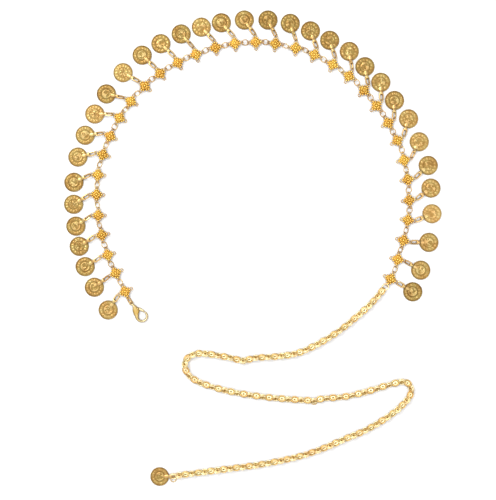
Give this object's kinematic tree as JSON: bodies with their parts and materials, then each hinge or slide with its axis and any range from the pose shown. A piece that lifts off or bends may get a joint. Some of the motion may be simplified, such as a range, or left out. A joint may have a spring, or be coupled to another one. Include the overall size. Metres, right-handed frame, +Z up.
{
  "type": "chain belt",
  "caption": "Hip belt of cast star links with hanging coins, a lobster clasp and a long tail chain, laid flat in an open ring.",
  "frame": {"origin": "middle of the box round the row of stars with its coins and clasp, on the surface that the belt lies on", "axes": "+Z up from that surface, +X across the ring of stars, +Y away from the open side where the clasp and the tail chain lie"},
  "size_m": [0.3014, 0.3801, 0.0056],
  "materials": {
    "star_gold": "bright gold plate on cast filigree",
    "coin_gold": "antique gold plate with darkened recesses",
    "wire_gold": "pale gold plated wire",
    "chain_gold": "light gold plated chain",
    "clasp_gold": "polished light gold plate"
  },
  "bodies": {
    "belt": {"stars_01_02": "star_gold", "stars_03_04": "star_gold", "stars_05_06": "star_gold", "stars_07_08": "star_gold", "stars_09_10": "star_gold", "stars_11_12": "star_gold", "stars_13_14": "star_gold", "stars_15_16": "star_gold", "stars_17_18": "star_gold", "stars_19_20": "star_gold", "stars_21_22": "star_gold", "stars_23_24": "star_gold", "stars_25_26": "star_gold", "stars_27_28": "star_gold", "stars_29_30": "star_gold", "stars_31_32": "star_gold", "stars_33_34": "star_gold", "clasp_link": "wire_gold", "tail_chain": "chain_gold", "tail_ring": "wire_gold"},
    "clasp": {"clasp_body": "clasp_gold"},
    "lever": {"clasp_lever": "clasp_gold"},
    "coin_01": {"coin_01": "coin_gold"},
    "coin_02": {"coin_02": "coin_gold"},
    "coin_03": {"coin_03": "coin_gold"},
    "coin_04": {"coin_04": "coin_gold"},
    "coin_05": {"coin_05": "coin_gold"},
    "coin_06": {"coin_06": "coin_gold"},
    "coin_07": {"coin_07": "coin_gold"},
    "coin_08": {"coin_08": "coin_gold"},
    "coin_09": {"coin_09": "coin_gold"},
    "coin_10": {"coin_10": "coin_gold"},
    "coin_11": {"coin_11": "coin_gold"},
    "coin_12": {"coin_12": "coin_gold"},
    "coin_13": {"coin_13": "coin_gold"},
    "coin_14": {"coin_14": "coin_gold"},
    "coin_15": {"coin_15": "coin_gold"},
    "coin_16": {"coin_16": "coin_gold"},
    "coin_17": {"coin_17": "coin_gold"},
    "coin_18": {"coin_18": "coin_gold"},
    "coin_19": {"coin_19": "coin_gold"},
    "coin_20": {"coin_20": "coin_gold"},
    "coin_21": {"coin_21": "coin_gold"},
    "coin_22": {"coin_22": "coin_gold"},
    "coin_23": {"coin_23": "coin_gold"},
    "coin_24": {"coin_24": "coin_gold"},
    "coin_25": {"coin_25": "coin_gold"},
    "coin_26": {"coin_26": "coin_gold"},
    "coin_27": {"coin_27": "coin_gold"},
    "coin_28": {"coin_28": "coin_gold"},
    "coin_29": {"coin_29": "coin_gold"},
    "coin_30": {"coin_30": "coin_gold"},
    "coin_31": {"coin_31": "coin_gold"},
    "coin_32": {"coin_32": "coin_gold"},
    "coin_33": {"coin_33": "coin_gold"},
    "coin_34": {"coin_34": "coin_gold"},
    "end_coin": {"end_coin": "coin_gold"}
  },
  "joints": [
    {"name": "coin_01_swing", "type": "hinge", "parent": "belt", "child": "coin_01", "pos_m": [-0.11088, -0.10799, 0.0016], "axis": [-0.8192, 0.5735, 0], "range_deg": [0, 150]},
    {"name": "coin_02_swing", "type": "hinge", "parent": "belt", "child": "coin_02", "pos_m": [-0.11998, -0.09169, 0.0016], "axis": [-0.5934, 0.8049, 0], "range_deg": [0, 150]},
    {"name": "coin_03_swing", "type": "hinge", "parent": "belt", "child": "coin_03", "pos_m": [-0.12701, -0.07574, 0.0016], "axis": [-0.5302, 0.8479, 0], "range_deg": [0, 150]},
    {"name": "coin_04_swing", "type": "hinge", "parent": "belt", "child": "coin_04", "pos_m": [-0.13178, -0.05945, 0.0016], "axis": [-0.537, 0.8436, 0], "range_deg": [0, 150]},
    {"name": "coin_05_swing", "type": "hinge", "parent": "belt", "child": "coin_05", "pos_m": [-0.13458, -0.04307, 0.0016], "axis": [-0.5627, 0.8267, 0], "range_deg": [0, 150]},
    {"name": "coin_06_swing", "type": "hinge", "parent": "belt", "child": "coin_06", "pos_m": [-0.13606, -0.02608, 0.0016], "axis": [-0.5078, 0.8615, 0], "range_deg": [0, 150]},
    {"name": "coin_07_swing", "type": "hinge", "parent": "belt", "child": "coin_07", "pos_m": [-0.13543, -0.00929, 0.0016], "axis": [-0.4115, 0.9114, 0], "range_deg": [0, 150]},
    {"name": "coin_08_swing", "type": "hinge", "parent": "belt", "child": "coin_08", "pos_m": [-0.13174, 0.00925, 0.0016], "axis": [-0.2169, 0.9762, 0], "range_deg": [0, 150]},
    {"name": "coin_09_swing", "type": "hinge", "parent": "belt", "child": "coin_09", "pos_m": [-0.12574, 0.02568, 0.0016], "axis": [-0.0982, 0.9952, 0], "range_deg": [0, 150]},
    {"name": "coin_10_swing", "type": "hinge", "parent": "belt", "child": "coin_10", "pos_m": [-0.11804, 0.04161, 0.0016], "axis": [0.0299, 0.9996, 0], "range_deg": [0, 150]},
    {"name": "coin_11_swing", "type": "hinge", "parent": "belt", "child": "coin_11", "pos_m": [-0.10895, 0.05597, 0.0016], "axis": [0.2338, 0.9723, 0], "range_deg": [0, 150]},
    {"name": "coin_12_swing", "type": "hinge", "parent": "belt", "child": "coin_12", "pos_m": [-0.0965, 0.07081, 0.0016], "axis": [0.4892, 0.8722, 0], "range_deg": [0, 150]},
    {"name": "coin_13_swing", "type": "hinge", "parent": "belt", "child": "coin_13", "pos_m": [-0.08246, 0.08311, 0.0016], "axis": [0.6897, 0.7241, 0], "range_deg": [0, 150]},
    {"name": "coin_14_swing", "type": "hinge", "parent": "belt", "child": "coin_14", "pos_m": [-0.06751, 0.09226, 0.0016], "axis": [0.6947, 0.7193, 0], "range_deg": [0, 150]},
    {"name": "coin_15_swing", "type": "hinge", "parent": "belt", "child": "coin_15", "pos_m": [-0.05176, 0.09961, 0.0016], "axis": [0.7459, 0.666, 0], "range_deg": [0, 150]},
    {"name": "coin_16_swing", "type": "hinge", "parent": "belt", "child": "coin_16", "pos_m": [-0.03549, 0.10515, 0.0016], "axis": [0.7361, 0.6768, 0], "range_deg": [0, 150]},
    {"name": "coin_17_swing", "type": "hinge", "parent": "belt", "child": "coin_17", "pos_m": [-0.01962, 0.10854, 0.0016], "axis": [0.7473, 0.6645, 0], "range_deg": [0, 150]},
    {"name": "coin_18_swing", "type": "hinge", "parent": "belt", "child": "coin_18", "pos_m": [-0.00205, 0.11011, 0.0016], "axis": [0.8215, 0.5702, 0], "range_deg": [0, 150]},
    {"name": "coin_19_swing", "type": "hinge", "parent": "belt", "child": "coin_19", "pos_m": [0.01572, 0.10946, 0.0016], "axis": [0.9007, 0.4344, 0], "range_deg": [0, 150]},
    {"name": "coin_20_swing", "type": "hinge", "parent": "belt", "child": "coin_20", "pos_m": [0.03249, 0.10635, 0.0016], "axis": [0.9506, 0.3104, 0], "range_deg": [0, 150]},
    {"name": "coin_21_swing", "type": "hinge", "parent": "belt", "child": "coin_21", "pos_m": [0.04891, 0.10046, 0.0016], "axis": [0.9396, 0.3423, 0], "range_deg": [0, 150]},
    {"name": "coin_22_swing", "type": "hinge", "parent": "belt", "child": "coin_22", "pos_m": [0.06394, 0.09278, 0.0016], "axis": [0.9544, 0.2987, 0], "range_deg": [0, 150]},
    {"name": "coin_23_swing", "type": "hinge", "parent": "belt", "child": "coin_23", "pos_m": [0.07833, 0.08359, 0.0016], "axis": [0.9896, 0.1437, 0], "range_deg": [0, 150]},
    {"name": "coin_24_swing", "type": "hinge", "parent": "belt", "child": "coin_24", "pos_m": [0.09108, 0.07142, 0.0016], "axis": [0.9852, 0.1716, 0], "range_deg": [0, 150]},
    {"name": "coin_25_swing", "type": "hinge", "parent": "belt", "child": "coin_25", "pos_m": [0.10256, 0.05879, 0.0016], "axis": [0.9995, 0.0316, 0], "range_deg": [0, 150]},
    {"name": "coin_26_swing", "type": "hinge", "parent": "belt", "child": "coin_26", "pos_m": [0.11299, 0.04427, 0.0016], "axis": [0.9994, -0.0339, 0], "range_deg": [0, 150]},
    {"name": "coin_27_swing", "type": "hinge", "parent": "belt", "child": "coin_27", "pos_m": [0.12208, 0.02993, 0.0016], "axis": [0.9566, -0.2914, 0], "range_deg": [0, 150]},
    {"name": "coin_28_swing", "type": "hinge", "parent": "belt", "child": "coin_28", "pos_m": [0.12917, 0.01218, 0.0016], "axis": [0.8906, -0.4549, 0], "range_deg": [0, 150]},
    {"name": "coin_29_swing", "type": "hinge", "parent": "belt", "child": "coin_29", "pos_m": [0.1341, -0.00504, 0.0016], "axis": [0.6845, -0.729, 0], "range_deg": [0, 150]},
    {"name": "coin_30_swing", "type": "hinge", "parent": "belt", "child": "coin_30", "pos_m": [0.13567, -0.02245, 0.0016], "axis": [0.6028, -0.7979, 0], "range_deg": [0, 150]},
    {"name": "coin_31_swing", "type": "hinge", "parent": "belt", "child": "coin_31", "pos_m": [0.13549, -0.04116, 0.0016], "axis": [0.389, -0.9212, 0], "range_deg": [0, 150]},
    {"name": "coin_32_swing", "type": "hinge", "parent": "belt", "child": "coin_32", "pos_m": [0.13235, -0.0607, 0.0016], "axis": [-0.0105, -0.9999, 0], "range_deg": [0, 150]},
    {"name": "coin_33_swing", "type": "hinge", "parent": "belt", "child": "coin_33", "pos_m": [0.12691, -0.07887, 0.0016], "axis": [-0.4927, -0.8702, 0], "range_deg": [0, 150]},
    {"name": "coin_34_swing", "type": "hinge", "parent": "belt", "child": "coin_34", "pos_m": [0.12066, -0.096, 0.0016], "axis": [-0.5151, -0.8571, 0], "range_deg": [0, 150]},
    {"name": "end_coin_swing", "type": "hinge", "parent": "belt", "child": "end_coin", "pos_m": [-0.0661, -0.24778, 0.0016], "axis": [-0.0349, 0.9994, 0], "range_deg": [0, 140]},
    {"name": "clasp_swing", "type": "hinge", "parent": "belt", "child": "clasp", "pos_m": [-0.09707, -0.10941, 0.0016], "axis": [0, 0, 1], "range_deg": [-25, 25]},
    {"name": "lever_swing", "type": "hinge", "parent": "clasp", "child": "lever", "pos_m": [-0.09206, -0.1138, 0.0014], "axis": [0, 0, 1], "range_deg": [-28, 0], "stiffness_Nm_per_rad": 0.004, "springref_deg": 14.32}
  ]
}
